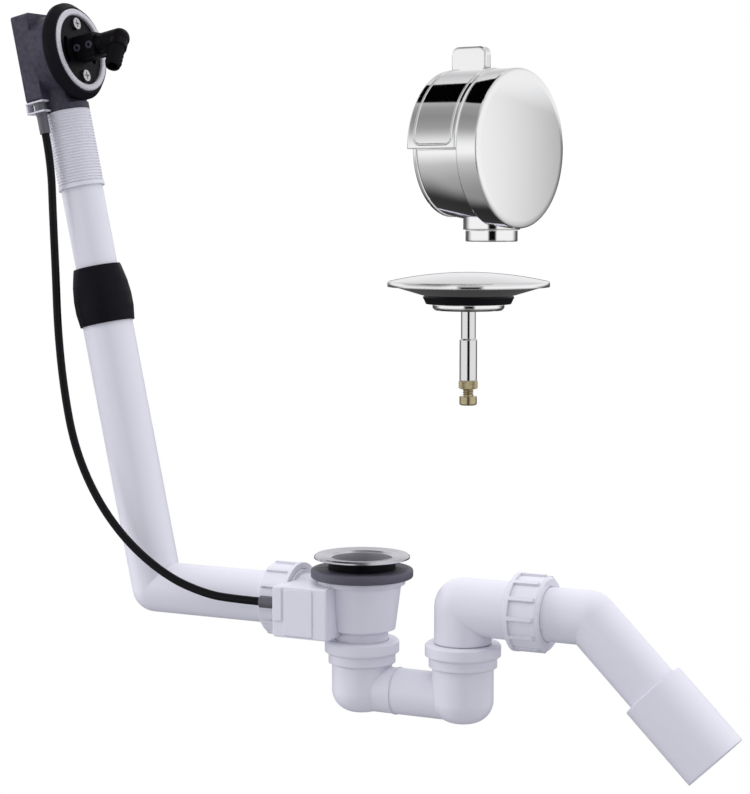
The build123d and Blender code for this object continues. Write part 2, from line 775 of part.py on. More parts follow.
with BuildPart() as head_back:
    add(box_between(
        (-box_half_width, -box_half_height, -box_back), (box_half_width, box_half_height, -cover_front), head_box,
    ))
    fillet(head_back.edges().filter_by(head_axis), box_round)
    add(rod(head_at(0, 0, -cover_front), lean_out, 2.0, spindle_radius + 3.0))
    add(rod(head_at(0, 0, -cover_front), lean_out, 2.0, spindle_radius + run_gap), mode=Mode.SUBTRACT)
finish(head_back, "head_back")

# The thick gasket behind the bath wall, the clamp ring and the plate with its two screws.
with BuildPart() as head_gasket:
    revolve(profile(
        head_plane,
        (seal_bore, -seal_back),
        (seal_rear, -seal_back),
        (seal_radius, -seal_back + seal_edge + 1.0),
        (seal_radius, -seal_back + 2 * seal_edge + 1.0),
        (seal_front, -1.0),
        (clamp_radius + push_gap, -1.0),
        (clamp_radius + push_gap, -clamp_thick + 0.5),
        (seal_bore, -clamp_thick + 0.5),
    ), axis=head_axis)
finish(head_gasket, "head_gasket")

with BuildPart() as clamp_ring:
    revolve(profile(
        head_plane,
        (clamp_bore, -clamp_thick + 0.5),
        (clamp_radius, -clamp_thick + 0.5),
        (clamp_radius, -0.4),
        (clamp_radius - 1.0, 0.5),
        (clamp_bore + 0.8, 0.5),
        (clamp_bore, -0.3),
    ), axis=head_axis)
finish(clamp_ring, "clamp_ring")

plate_radius = clamp_bore - push_gap
with BuildPart() as head_plate:
    add(rod(head_at(0, 0, -plate_back), lean_out, plate_thick, plate_radius))
    add(rod(head_at(0, 0, -plate_back), lean_out, plate_thick, nozzle_radius + run_gap), mode=Mode.SUBTRACT)
    for side in (-1, 1):
        add(rod(
            head_at(0, side * screw_place, -plate_back), lean_out, plate_thick, screw_radius + push_gap,
        ), mode=Mode.SUBTRACT)
    window_mid = (nozzle_radius + plate_radius) / 2 + 1.0
    with BuildSketch(Plane(origin=head_at(0, 0, -plate_recess), x_dir=(0, 1, 0), z_dir=lean_out)) as windows:
        for turn in (0, 180):
            with BuildLine() as mid_line:
                CenterArc((0, 0), window_mid, turn - window_angle / 2, window_angle)
            SlotArc(mid_line.edges()[0], window_width)
    extrude(windows.sketch, amount=-plate_thick, mode=Mode.SUBTRACT)
finish(head_plate, "head_plate")

with BuildPart() as clamp_screws:
    for side in (-1, 1):
        place = head_at(0, side * screw_place, -plate_recess)
        add(rod(place, lean_out, screw_head_height, screw_head_radius))
        add(rod(place - lean_out * (screw_length + plate_thick - 1.0), lean_out, screw_length + plate_thick, screw_radius))
        recess = Plane(origin=place + lean_out * screw_head_height, x_dir=(0, 1, 0), z_dir=lean_out)
        add(box_between((-2.8, -0.55, -1.2), (2.8, 0.55, 0), recess), mode=Mode.SUBTRACT)
        add(box_between((-0.55, -2.8, -1.2), (0.55, 2.8, 0), recess), mode=Mode.SUBTRACT)
finish(clamp_screws, "clamp_screws")

# The nozzle elbow that turns in the plate, and the spindle and drum that it turns behind.
nozzle_corner = head_at(0, 0, nozzle_reach)
nozzle_way = lean_up * -cos(radians(nozzle_turn)) + Vector(0, -sin(radians(nozzle_turn)), 0)
nozzle_plane = Plane(origin=nozzle_corner, x_dir=lean_out, z_dir=lean_out.cross(nozzle_way))
nozzle_back = plate_back + 10.0
barb_start = nozzle_leg - barb_count * barb_pitch
with BuildPart() as nozzle_elbow:
    add(rod(head_at(0, 0, -nozzle_back), lean_out, nozzle_reach + nozzle_back, nozzle_radius))
    with Locations(nozzle_corner):
        Sphere(nozzle_radius)
    barbs = [(0, 0), (nozzle_radius - 0.6, 0), (nozzle_radius - 0.6, barb_start)]
    for barb in range(barb_count):
        top = barb_start + barb * barb_pitch
        barbs.append((barb_radius, top))
        barbs.append((barb_root, top + barb_pitch))
    barbs.append((0, nozzle_leg))
    revolve(profile(nozzle_plane, *barbs), axis=Axis(nozzle_corner, nozzle_way))
    for place in (8.0, 22.0):
        add(rod(head_at(-nozzle_radius + 1.0, 0, place), (0, -1, 0), 1.7, 2.3))
    add(rod(
        head_at(0, 0, -nozzle_back), lean_out, nozzle_reach + nozzle_back, nozzle_bore,
    ), mode=Mode.SUBTRACT)
    with Locations(nozzle_corner):
        Sphere(nozzle_bore - 0.05, mode=Mode.SUBTRACT)
    add(rod(nozzle_corner, nozzle_way, nozzle_leg, barb_root - 1.6), mode=Mode.SUBTRACT)
finish(nozzle_elbow, "nozzle_elbow")

with BuildPart() as control_spindle:
    add(rod(head_at(0, 0, -cover_front + 0.3), lean_out, cover_front - 0.3, spindle_radius))
finish(control_spindle, "control_spindle")

drum_back = (wall_back + cover_front - 2.0) / 2 + drum_width / 2
with BuildPart() as cable_drum:
    revolve(profile(
        head_plane,
        (spindle_radius + press_gap, -drum_back),
        (drum_radius, -drum_back),
        (drum_radius, -drum_back + 1.5),
        (drum_radius - drum_groove, -drum_back + 2.2),
        (drum_radius - drum_groove, -drum_back + drum_width - 2.2),
        (drum_radius, -drum_back + drum_width - 1.5),
        (drum_radius, -drum_back + drum_width),
        (spindle_radius + press_gap, -drum_back + drum_width),
    ), axis=head_axis)
finish(cable_drum, "cable_drum")

# The cable between the two housings, with its ferrules and the clip that holds the upper one.
box_bottom = -box_half_height
ferrule_end = box_bottom - ferrule_length
with BuildPart() as upper_ferrule:
    top = head_at(-cable_place, box_bottom, -cable_depth)
    add(rod(top, lean_up * -1, ferrule_length * 0.45, ferrule_radius))
    add(rod(top, lean_up * -1, ferrule_length, ferrule_radius - 0.4))
    add(rod(top, lean_up, box_wall, ferrule_spigot))
finish(upper_ferrule, "upper_ferrule")

clip_inner = -(head_socket_radius + 0.6)
clip_outer = -(cable_place + ferrule_radius + 0.8)
clip_front = -(cable_depth - ferrule_radius - 2.0)
clip_back = -(box_back + 0.4)
with BuildPart() as cable_clip:
    for drop in (0.0, clip_height):
        add(box_between(
            (clip_outer, box_bottom - drop - clip_thick, clip_back), (clip_inner, box_bottom - drop, clip_front), head_box,
        ))
    add(box_between(
        (clip_outer, box_bottom - clip_height - clip_thick, clip_back),
        (clip_inner, box_bottom, clip_back + clip_thick), head_box,
    ))
    add(rod(
        head_at(-cable_place, box_bottom, -cable_depth), lean_up * -1, ferrule_length, ferrule_radius + press_gap,
    ), mode=Mode.SUBTRACT)
finish(cable_clip, "cable_clip")

low_ferrule_end = block_lip - low_ferrule_length
with BuildPart() as lower_ferrule:
    foot = Vector(block_lip, low_cable_front, low_cable_level)
    add(rod(foot, (-1, 0, 0), low_ferrule_length, low_ferrule_radius))
    add(rod(foot, (1, 0, 0), block_wall, ferrule_spigot))
finish(lower_ferrule, "lower_ferrule")

cable_top = head_at(-cable_place, ferrule_end, -cable_depth)
cable_points = [
    cable_top,
    cable_top - lean_up * 24.0,
    Vector(-262.0, -23.2, 258.0),
    Vector(-259.2, -24.6, 213.0),
    Vector(-256.6, -26.6, 168.0),
    Vector(-250.0, -29.0, 121.0),
    Vector(-239.0, -31.5, 76.0),
    Vector(-218.0, -33.3, 36.0),
    Vector(-188.5, -34.3, 3.0),
    Vector(-151.0, -35.0, -21.5),
    Vector(-116.0, -35.5, -31.9),
    Vector(low_ferrule_end - 22.0, low_cable_front, low_cable_level),
    Vector(low_ferrule_end, low_cable_front, low_cable_level),
]
cable_runs = [b - a for a, b in zip(cable_points, cable_points[1:])]
cable_radii = []
for before, after in zip(cable_runs, cable_runs[1:]):
    half_turn = radians(before.get_angle(after)) / 2
    shorter = min(before.length, after.length)
    cable_radii.append(0.45 * shorter * cos(half_turn) / sin(half_turn))
with BuildPart() as control_cable:
    with BuildLine() as route:
        FilletPolyline(*cable_points, radius=cable_radii)
    with BuildSketch(Plane(origin=cable_top, z_dir=cable_runs[0].normalized())):
        Circle(cable_radius)
    sweep(path=route.wires()[0])
finish(control_cable, "control_cable")
print("cable radii", [round(r) for r in cable_radii], "runs", [round(v.length) for v in cable_runs])
print("cable length", round(route.wires()[0].length, 1), "volume share",
      round(control_cable.part.volume / (3.14159265 * cable_radius**2 * route.wires()[0].length), 5))

# The overflow cover, taken off: front cap, fixed body with its spout, turning ring and aerator.
cover_out = Vector(cos(radians(cover_turn)), -sin(radians(cover_turn)), 0)
cover_side = Vector(0, 0, 1).cross(cover_out)
cover_point = Vector(cover_x, cover_y, cover_z)
cover_plane = Plane(origin=cover_point, x_dir=(0, 0, 1), z_dir=cover_side)
cover_box = Plane(origin=cover_point, x_dir=cover_side, z_dir=cover_out)
cover_axis = Axis(cover_point, cover_out)
cap_inner = cover_face_dome + cover_wall
spout_low = -cover_radius - 0.6
spout_point = cover_point - cover_out * aerator_back
with BuildPart() as cover_cap:
    revolve(profile(
        cover_plane,
        (0, cover_face_dome),
        (cover_radius * 0.5, cover_face_dome * 0.75),
        (cover_radius - 2.0, 0),
        (cover_radius, -1.6),
        (cover_radius, -cover_band),
        (cover_radius - cover_wall, -cover_band),
        (cover_radius - cover_wall, -cap_inner),
        (0, -cap_inner),
    ), axis=cover_axis)
    add(rod(
        spout_point + Vector(0, 0, spout_low - 5.0), (0, 0, 1), cover_radius / 2, spout_radius + side_gap,
    ), mode=Mode.SUBTRACT)
finish(cover_cap, "cover_cap")

# The ring turns on the rear of the body's hub, behind the spout.
ring_inner = cover_radius - ring_wall
skin_radius = ring_inner - 0.6
hub_outer = skin_radius - 4.0
hub_inner = hub_outer - cover_wall
ring_front = cover_band + ring_groove_gap
bearing_front = aerator_back + spout_radius + 1.0
with BuildPart() as cover_body:
    revolve(profile(
        cover_plane,
        (hub_outer - 0.5, -ring_front),
        (skin_radius, -ring_front),
        (skin_radius - 2.4, -bearing_front + side_gap),
        (hub_outer - 0.5, -bearing_front + side_gap),
    ), axis=cover_axis)
    add(box_between((-60, 0, -60), (60, 60, 0), cover_box), mode=Mode.SUBTRACT)
    revolve(profile(
        cover_plane,
        (hub_inner, -cap_inner),
        (hub_outer, -cap_inner),
        (hub_outer, -cover_depth),
        (hub_inner, -cover_depth),
    ), axis=cover_axis)
    add(rod(spout_point + Vector(0, 0, spout_low), (0, 0, 1), -spout_low - hub_inner + 2.0, spout_radius)
        - rod(cover_point - cover_out * cover_depth, cover_out, cover_depth, hub_inner))
    add(rod(
        spout_point + Vector(0, 0, spout_low), (0, 0, 1), -spout_low - hub_inner + 4.0,
        aerator_bore + aerator_thread + push_gap,
    ), mode=Mode.SUBTRACT)
finish(cover_body, "cover_body")

with BuildPart() as control_ring:
    revolve(profile(
        cover_plane,
        (ring_inner, -ring_front),
        (cover_radius, -ring_front),
        (cover_radius, -cover_depth),
        (ring_inner, -cover_depth),
    ), axis=cover_axis)
    add(box_between((-60, -60, -60), (60, -0.5, 0), cover_box), mode=Mode.SUBTRACT)
    revolve(profile(
        cover_plane,
        (hub_outer + run_gap, -bearing_front),
        (ring_inner + 0.5, -bearing_front),
        (ring_inner + 0.5, -cover_depth),
        (hub_outer + run_gap, -cover_depth),
    ), axis=cover_axis)
    fin_plane = Plane(origin=cover_point + cover_side * fin_thick / 2, x_dir=cover_out, z_dir=cover_side * -1)
    with BuildSketch(fin_plane) as fin:
        with Locations((-cover_depth + fin_length / 2 + 1.0, cover_radius - 1.0 + fin_height / 2)):
            RectangleRounded(fin_length, fin_height + 2.0, 4.0)
    extrude(fin.sketch, amount=fin_thick)
    add(rod(
        cover_point - cover_out * cover_depth, cover_out, cover_depth, ring_inner - 0.6,
    ) - rod(cover_point - cover_out * cover_depth, cover_out, cover_depth - bearing_front, ring_inner + 1.0),
        mode=Mode.SUBTRACT)
finish(control_ring, "control_ring")

with BuildPart() as aerator:
    with BuildSketch(Plane(origin=spout_point + Vector(0, 0, spout_low), x_dir=cover_out, z_dir=(0, 0, -1))):
        RegularPolygon(aerator_across / 2, 8, major_radius=False)
    extrude(amount=aerator_height)
    add(rod(spout_point + Vector(0, 0, spout_low), (0, 0, 1), aerator_grip, aerator_bore + aerator_thread))
    add(rod(
        spout_point + Vector(0, 0, spout_low - aerator_height), (0, 0, 1), aerator_height + aerator_grip, aerator_bore,
    ), mode=Mode.SUBTRACT)
finish(aerator, "aerator")

with BuildPart() as aerator_screen:
    add(rod(
        spout_point + Vector(0, 0, spout_low - aerator_height + 2.0), (0, 0, 1), 2.0, aerator_bore - press_gap,
    ))
finish(aerator_screen, "aerator_screen")

# The plug, taken out: cap, seal, retainer, stem, lock nut and the screw that the lift lever pushes.
plug_plane = Plane(origin=(plug_x, plug_y, plug_z), x_dir=(1, 0, 0), z_dir=(0, -1, 0))
plug_axis = Axis((plug_x, plug_y, plug_z), (0, 0, 1))
cap_low = -plug_rim - plug_taper
seal_low = cap_low - plug_seal_thick
retainer_low = seal_low - retainer_thick
stem_step = retainer_low - stem_upper_length
stem_low = stem_step - stem_lower_length
stem_top = cap_low + plug_taper * 0.6
with BuildPart() as plug_cap:
    revolve(profile(
        plug_plane,
        (0, plug_dome),
        (plug_radius * 0.55, plug_dome * 0.7),
        (plug_radius - 0.8, 0),
        (plug_radius, -0.8),
        (plug_radius, -plug_rim),
        (plug_radius - 3.0, -plug_rim),
        (plug_seal_radius + 0.6, cap_low),
        (stem_upper_radius + press_gap, cap_low),
        (stem_upper_radius + press_gap, stem_top),
        (0, stem_top),
    ), axis=plug_axis)
finish(plug_cap, "plug_cap")

with BuildPart() as plug_seal:
    revolve(profile(
        plug_plane,
        (stem_upper_radius + press_gap, cap_low),
        (plug_seal_radius - 1.2, cap_low),
        (plug_seal_radius, cap_low - 1.0),
        (plug_seal_radius - 1.6, seal_low),
        (stem_upper_radius + press_gap, seal_low),
    ), axis=plug_axis)
finish(plug_seal, "plug_seal")

with BuildPart() as seal_retainer:
    revolve(profile(
        plug_plane,
        (stem_upper_radius + press_gap, seal_low),
        (retainer_radius, seal_low),
        (retainer_radius, retainer_low + 1.2),
        (retainer_radius - 1.2, retainer_low),
        (stem_upper_radius + press_gap, retainer_low),
    ), axis=plug_axis)
finish(seal_retainer, "seal_retainer")

screw_hole = plug_screw_radius + press_gap
screw_top = stem_low + 9.0
with BuildPart() as plug_stem:
    revolve(profile(
        plug_plane,
        (0, stem_top),
        (stem_upper_radius, stem_top),
        (stem_upper_radius, stem_step),
        (stem_lower_radius, stem_step - 0.6),
        (stem_lower_radius, stem_low),
        (screw_hole, stem_low),
        (screw_hole, screw_top + 0.5),
        (0, screw_top + 0.5),
    ), axis=plug_axis)
finish(plug_stem, "plug_stem")

nut_low = stem_low - lock_nut_height
with BuildPart() as plug_lock_nut:
    with BuildSketch(Plane(origin=(plug_x, plug_y, plug_z + nut_low))):
        RegularPolygon(lock_nut_radius, 6)
        Circle(screw_hole, mode=Mode.SUBTRACT)
    extrude(amount=lock_nut_height)
finish(plug_lock_nut, "plug_lock_nut")

head_top = nut_low - plug_screw_gap
head_low = head_top - plug_screw_head_height
with BuildPart() as plug_screw:
    revolve(profile(
        plug_plane,
        (0, screw_top),
        (plug_screw_radius, screw_top),
        (plug_screw_radius, head_top),
        (plug_screw_head, head_top),
        (plug_screw_head, head_low + 0.6),
        (plug_screw_head - 0.6, head_low),
        (0, head_low),
    ), axis=plug_axis)
    with Locations((plug_x, plug_y, plug_z + head_low)):
        Box(2.5 * plug_screw_head, screw_slot, 2.4, mode=Mode.SUBTRACT)
finish(plug_screw, "plug_screw")
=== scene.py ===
import bmesh
import bpy
import math
from mathutils import Matrix, Vector


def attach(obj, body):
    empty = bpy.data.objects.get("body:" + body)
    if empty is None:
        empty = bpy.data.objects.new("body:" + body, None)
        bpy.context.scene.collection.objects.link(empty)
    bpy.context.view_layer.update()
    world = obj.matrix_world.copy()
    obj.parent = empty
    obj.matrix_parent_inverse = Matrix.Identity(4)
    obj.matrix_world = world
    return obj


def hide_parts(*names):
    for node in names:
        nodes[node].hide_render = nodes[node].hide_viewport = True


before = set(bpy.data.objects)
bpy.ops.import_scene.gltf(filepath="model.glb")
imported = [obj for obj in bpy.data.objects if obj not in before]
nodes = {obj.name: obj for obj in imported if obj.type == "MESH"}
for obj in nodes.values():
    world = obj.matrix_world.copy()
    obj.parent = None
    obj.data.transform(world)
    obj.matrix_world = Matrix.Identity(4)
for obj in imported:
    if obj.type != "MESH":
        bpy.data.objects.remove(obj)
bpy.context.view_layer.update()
scene = bpy.context.scene
mm = 0.001

# Camera: fitted to the photograph's pipes, 750 by 794 pixels.
azimuth = math.radians(26.045)
elevation = math.radians(5.339)
focal_px, photo_height_px, sensor_mm = 2104.75, 794.0, 36.0
camera_spot = Vector((0.70337, -1.41674, 0.27036))
upright = Vector((0, 0, 1))
viewer = Vector((math.sin(azimuth), -math.cos(azimuth), 0))
right = Vector((math.cos(azimuth), math.sin(azimuth), 0))
back = viewer * math.cos(elevation) + upright * math.sin(elevation)
up = back.cross(right)
camera_data = bpy.data.cameras.new("camera")
camera_data.sensor_width = sensor_mm
camera_data.lens = focal_px * sensor_mm / photo_height_px
camera_data.clip_start = 0.05
camera_data.clip_end = 20.0
camera = bpy.data.objects.new("camera", camera_data)
scene.collection.objects.link(camera)
place = Matrix.Identity(4)
for axis, way in enumerate((right, up, back)):
    for line in range(3):
        place[line][axis] = way[line]
place.translation = camera_spot
camera.matrix_world = place
scene.camera = camera
scene.view_settings.view_transform = "Standard"
scene.view_settings.look = "None"


# Materials
class Paint:
    """A Principled material whose colour, roughness and bump come from nodes."""

    def __init__(self, name, color, rough=0.4, metal=0.0, **inputs):
        self.mat = bpy.data.materials.new(name)
        self.mat.use_nodes = True
        self.tree = self.mat.node_tree
        self.main = self.tree.nodes["Principled BSDF"]
        self.main.inputs["Base Color"].default_value = (*color, 1)
        self.main.inputs["Roughness"].default_value = rough
        self.main.inputs["Metallic"].default_value = metal
        for key, value in inputs.items():
            self.main.inputs[key.replace("_", " ")].default_value = value
        self.color = color
        self.coords = self.node("ShaderNodeTexCoord").outputs["Object"]

    def node(self, kind, **values):
        made = self.tree.nodes.new(kind)
        for key, value in values.items():
            setattr(made, key, value)
        return made

    def link(self, a, b):
        self.tree.links.new(a, b)

    def noise(self, scale, detail=4.0):
        tex = self.node("ShaderNodeTexNoise")
        tex.inputs["Scale"].default_value = scale
        tex.inputs["Detail"].default_value = detail
        self.link(self.coords, tex.inputs["Vector"])
        return tex.outputs["Fac"]

    def ramp(self, source, low, high, a=0.3, b=0.7):
        spread = self.node("ShaderNodeMapRange")
        spread.inputs["From Min"].default_value = a
        spread.inputs["From Max"].default_value = b
        spread.inputs["To Min"].default_value = low
        spread.inputs["To Max"].default_value = high
        self.link(source, spread.inputs["Value"])
        return spread.outputs["Result"]

    def vary_color(self, scale, amount):
        mix = self.node("ShaderNodeMix", data_type="RGBA")
        light = [min(1.0, c * (1 + amount)) for c in self.color]
        dark = [c * (1 - amount) for c in self.color]
        mix.inputs[6].default_value = (*dark, 1)
        mix.inputs[7].default_value = (*light, 1)
        self.link(self.noise(scale, 3.0), mix.inputs[0])
        self.link(mix.outputs[2], self.main.inputs["Base Color"])
        return self

    def vary_rough(self, scale, low, high):
        self.link(self.ramp(self.noise(scale), low, high), self.main.inputs["Roughness"])
        return self

    def round_edges(self, radius):
        node = self.node("ShaderNodeBevel", samples=6)
        node.inputs["Radius"].default_value = radius
        self.link(node.outputs["Normal"], self.main.inputs["Normal"])
        return self

    def bump(self, scale, strength, distance):
        node = self.node("ShaderNodeBump")
        node.inputs["Strength"].default_value = strength
        node.inputs["Distance"].default_value = distance
        self.link(self.noise(scale), node.inputs["Height"])
        old = self.main.inputs["Normal"].links
        if old:
            self.link(old[0].from_socket, node.inputs["Normal"])
        self.link(node.outputs["Normal"], self.main.inputs["Normal"])
        return self


white = Paint("white_plastic", (0.745, 0.745, 0.825), 0.36, Coat_Weight=0.1, Coat_Roughness=0.25)
white.round_edges(0.0016).vary_color(14, 0.012).vary_rough(60, 0.3, 0.42).bump(900, 0.10, 0.00006)
black = Paint("black_plastic", (0.0036, 0.0026, 0.0044), 0.42, Specular_IOR_Level=0.1)
black.round_edges(0.0007).vary_color(90, 0.15).vary_rough(300, 0.36, 0.52).bump(2600, 0.5, 0.00012)
charcoal = Paint("charcoal_plastic", (0.045, 0.041, 0.065), 0.5, Specular_IOR_Level=0.4)
charcoal.round_edges(0.0010).vary_color(260, 0.65).vary_rough(240, 0.42, 0.6).bump(1500, 0.9, 0.0003)
rubber = Paint("black_rubber", (0.005, 0.0042, 0.0075), 0.5, Specular_IOR_Level=0.12)
rubber.vary_color(60, 0.2).vary_rough(150, 0.42, 0.6).bump(1500, 0.35, 0.0001)
grey_rubber = Paint("grey_rubber", (0.086, 0.084, 0.113), 0.5, Specular_IOR_Level=0.4)
grey_rubber.round_edges(0.0008).vary_color(60, 0.08).vary_rough(150, 0.42, 0.58).bump(1200, 0.3, 0.0001)
cable_skin = Paint("cable_sheath", (0.0045, 0.004, 0.006), 0.45, Specular_IOR_Level=0.15)
cable_skin.vary_rough(300, 0.38, 0.52).bump(900, 0.15, 0.00006)
ferrule_grey = Paint("ferrule_grey", (0.105, 0.103, 0.125), 0.4)
ferrule_grey.vary_color(200, 0.08).vary_rough(300, 0.34, 0.48).bump(1500, 0.2, 0.00006)
pale = Paint("pale_plastic", (0.55, 0.55, 0.58), 0.4)
pale.vary_rough(200, 0.34, 0.5)
chrome = Paint("chrome", (0.91, 0.91, 0.92), 0.04, 1.0, Specular_Tint=(0.92, 0.92, 0.93, 1))
chrome.round_edges(0.0012).vary_rough(40, 0.03, 0.06)
stem_chrome = Paint("stem_chrome", (0.74, 0.74, 0.75), 0.06, 1.0, Specular_Tint=(0.8, 0.8, 0.81, 1))
stem_chrome.round_edges(0.0006).vary_rough(40, 0.05, 0.09)
satin = Paint("satin_chrome", (0.64, 0.635, 0.68), 0.22, 1.0, Specular_Tint=(0.88, 0.88, 0.9, 1))
satin.round_edges(0.0005).vary_rough(90, 0.17, 0.27).bump(500, 0.08, 0.00004)
# The inside of the flange's mouth is duller than its rim.
mouth_end, rim_start, mouth_metal = 0.0236, 0.0252, 0.6
flat = satin.node("ShaderNodeVectorMath", operation="MULTIPLY")
flat.inputs[1].default_value = (1, 1, 0)
satin.link(satin.node("ShaderNodeNewGeometry").outputs["Position"], flat.inputs[0])
off_axis = satin.node("ShaderNodeVectorMath", operation="LENGTH")
satin.link(flat.outputs[0], off_axis.inputs[0])
dulled = satin.ramp(off_axis.outputs["Value"], mouth_metal, 1.0, mouth_end, rim_start)
satin.link(dulled, satin.main.inputs["Metallic"])
steel = Paint("bright_steel", (0.55, 0.55, 0.58), 0.3, 1.0)
steel.round_edges(0.0005).vary_rough(400, 0.22, 0.36).bump(1800, 0.25, 0.00006)
zinc = Paint("clamp_ring_zinc", (0.60, 0.59, 0.65), 0.5, 0.25)
zinc.round_edges(0.0006).vary_color(900, 0.4).vary_rough(500, 0.34, 0.5).bump(2200, 0.6, 0.0001)
brass = Paint("turned_brass", (0.50, 0.43, 0.26), 0.26, 1.0)
brass.round_edges(0.0003).vary_color(300, 0.12).vary_rough(700, 0.2, 0.36)

looks = {
    white: "waste_body housing_lid trap outlet_elbow overflow_nut outlet_nut outlet_bend outlet_sleeve "
           "overflow_elbow overflow_upper_pipe ribbed_tube cable_clip",
    black: "head_plate nozzle_elbow cable_drum flange_tail",
    charcoal: "head_housing head_back",
    rubber: "rubber_boot head_gasket plug_seal",
    grey_rubber: "waste_gasket trap_inlet_seal trap_outlet_seal overflow_nut_seal outlet_nut_seal",
    ferrule_grey: "upper_ferrule lower_ferrule",
    pale: "pull_lever lift_lever aerator_screen",
    chrome: "cover_cap cover_body control_ring aerator plug_cap seal_retainer",
    stem_chrome: "plug_stem",
    satin: "waste_flange",
    steel: "clamp_screws lever_shaft control_spindle wire_nipple",
    zinc: "clamp_ring",
    brass: "plug_lock_nut plug_screw",
}
for paint, names in looks.items():
    for name in names.split():
        data = nodes[name].data
        data.materials.clear()
        data.materials.append(paint.mat)

# Places of the overflow pipe, its head, the cover and the plug, as in the part.
lean = math.radians(12.0)
lean_up = Vector((-math.sin(lean), 0, math.cos(lean)))
lean_out = Vector((math.cos(lean), 0, math.sin(lean)))
pipe_corner = Vector((-0.1825, 0, -0.037))
head_height, head_reach = 0.431, 0.0245
head = pipe_corner + lean_up * head_height + lean_out * head_reach
cover_turn = math.radians(11.0)
cover_point = Vector((0.304, -0.433, 0.2962))
cover_out = Vector((math.cos(cover_turn), -math.sin(cover_turn), 0))
cover_side = upright.cross(cover_out)
cap_radius = 40.0
plug_point = Vector((0.283, -0.450, 0.2302))
plug_facing = math.radians(26.0)
plug_side = Vector((math.cos(plug_facing), math.sin(plug_facing), 0))
plug_across = upright.cross(plug_side)

# The cable, on the same points as its rod in the part.
cable_radius = 0.0032
clip_side, clip_drop, clip_back, ferrule_length = 0.0223, 0.061, 0.034, 0.024
cable_top = head - Vector((0, clip_side, 0)) - lean_up * clip_drop - lean_out * clip_back
cable_points = [
    cable_top,
    cable_top - lean_up * ferrule_length,
    Vector((-0.2620, -0.0232, 0.2580)),
    Vector((-0.2592, -0.0246, 0.2130)),
    Vector((-0.2566, -0.0266, 0.1680)),
    Vector((-0.2500, -0.0290, 0.1210)),
    Vector((-0.2390, -0.0315, 0.0760)),
    Vector((-0.2180, -0.0333, 0.0360)),
    Vector((-0.1885, -0.0343, 0.0030)),
    Vector((-0.1510, -0.0350, -0.0215)),
    Vector((-0.1160, -0.0355, -0.0319)),
    Vector((-0.0900, -0.0360, -0.0334)),
    Vector((-0.0680, -0.0360, -0.0334)),
]
curve = bpy.data.curves.new("control_cable_curve", "CURVE")
curve.dimensions = "3D"
curve.bevel_depth = cable_radius
curve.bevel_resolution = 6
curve.resolution_u = 12
curve.use_fill_caps = True
spline = curve.splines.new("NURBS")
spline.points.add(len(cable_points) - 1)
for point, spot in zip(spline.points, cable_points):
    point.co = (*spot, 1)
spline.order_u = 3
spline.use_endpoint_u = True
curve.materials.append(cable_skin.mat)
cable = bpy.data.objects.new("control_cable_sheath", curve)
scene.collection.objects.link(cable)
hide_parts("control_cable")
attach(cable, "fixed")


# Helpers for the pieces that the scene adds.
same_point = 0.0000005
sharp_edge = math.radians(28)


def woven(name, loops, paint, closed, body="fixed"):
    """A skin over loops of points, shut into a ring or with an end face on the first and last loop."""
    count = len(loops[0])
    points = [point for loop in loops for point in loop]
    faces = []
    for row in range(len(loops) if closed else len(loops) - 1):
        for spot in range(count):
            a, b = row * count, (row + 1) % len(loops) * count
            after = (spot + 1) % count
            faces.append((a + spot, a + after, b + after, b + spot))
    if not closed:
        faces.append(tuple(range(count - 1, -1, -1)))
        faces.append(tuple(range((len(loops) - 1) * count, len(loops) * count)))
    mesh = bpy.data.meshes.new(name)
    mesh.from_pydata(points, [], faces)
    skin = bmesh.new()
    skin.from_mesh(mesh)
    bmesh.ops.remove_doubles(skin, verts=skin.verts, dist=same_point)
    bmesh.ops.recalc_face_normals(skin, faces=skin.faces)
    skin.to_mesh(mesh)
    skin.free()
    mesh.materials.append(paint.mat)
    piece = bpy.data.objects.new(name, mesh)
    scene.collection.objects.link(piece)
    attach(piece, body)
    return piece


def lathe(name, origin, axis, start, outline, paint, body="fixed", first=0.0, arc=360.0, steps=144):
    """A closed outline of (radius, height) points in millimetres, turned about an axis from a start."""
    side = axis.cross(start)
    whole = arc == 360.0
    loops = []
    for spot in range(steps if whole else steps + 1):
        turn = math.radians(first + arc * spot / steps)
        way = start * math.cos(turn) + side * math.sin(turn)
        loops.append([origin + (way * r + axis * h) * mm for r, h in outline])
    piece = woven(name, loops, paint, whole, body)
    for face in piece.data.polygons:
        face.use_smooth = True
    piece.data.set_sharp_from_angle(angle=sharp_edge)
    return piece


def dome(radius, rise, count=14):
    """Outline points of a shallow dome, from its middle to its edge."""
    return [(radius * n / count, rise * (1 - (n / count) ** 2)) for n in range(count + 1)]


def rounded(left, far, low, high, radius, inset=0.0, step_deg=15):
    """The edge of a box with rounded corners, drawn in by an inset."""
    points = []
    for turn, x, y in (
        (0, far - radius, high - radius), (90, left + radius, high - radius),
        (180, left + radius, low + radius), (270, far - radius, low + radius),
    ):
        for part_turn in range(turn, turn + 91, step_deg):
            angle = math.radians(part_turn)
            points.append((x + (radius - inset) * math.cos(angle), y + (radius - inset) * math.sin(angle)))
    return points


def on_plug(radius, angle, height):
    """A point round the plug's axis, in metres from the middle of its rim."""
    way = plug_side * math.cos(angle) + plug_across * math.sin(angle)
    return plug_point + way * radius + upright * height


